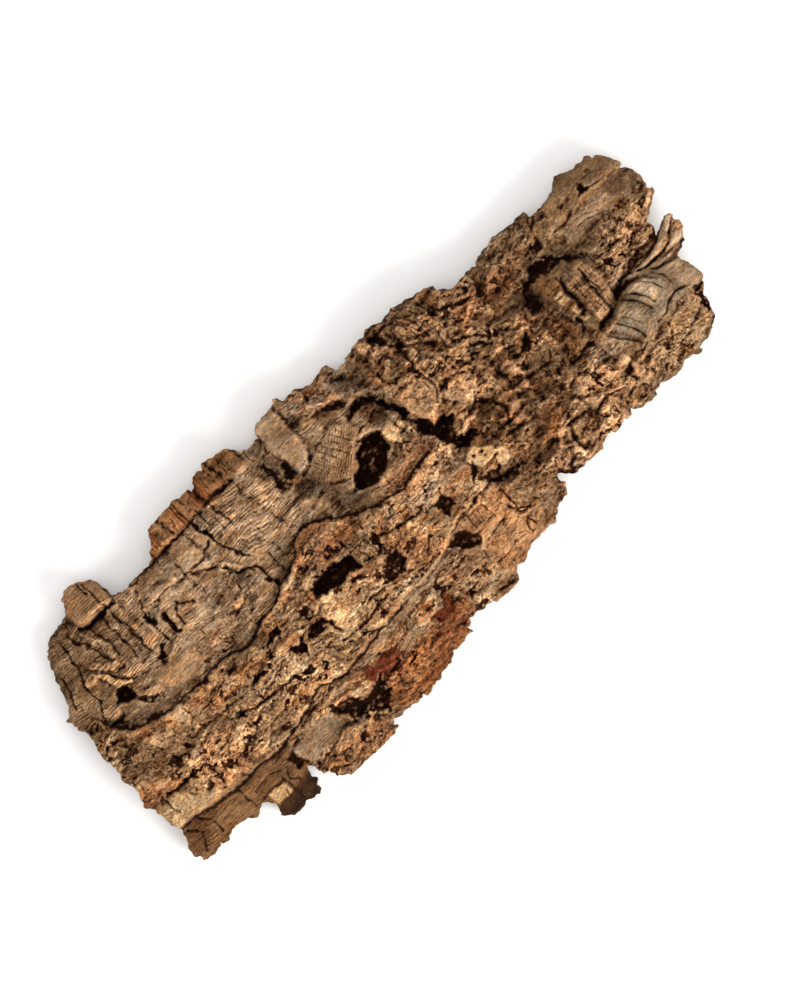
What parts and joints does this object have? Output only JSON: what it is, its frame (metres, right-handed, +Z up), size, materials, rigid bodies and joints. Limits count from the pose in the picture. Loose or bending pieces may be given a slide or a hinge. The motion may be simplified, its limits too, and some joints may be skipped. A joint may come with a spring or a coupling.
{
  "type": "cork bark slab",
  "caption": "Arched slab of raw cork oak bark with a ragged outline, ribbed plates, cracks and deep hollows, lying rough side up.",
  "frame": {"origin": "on the floor, under the middle of the slab's bounding box", "axes": "+X along the slab towards its narrow end, +Y across it, +Z up from the hollow underside to the rough side"},
  "size_m": [0.3, 0.126, 0.045],
  "materials": {
    "bark": "dull weathered cork, tan crust over grey-brown ribbed bark"
  },
  "bodies": {
    "root": {"cork_bark_slab": "bark"}
  },
  "joints": []
}
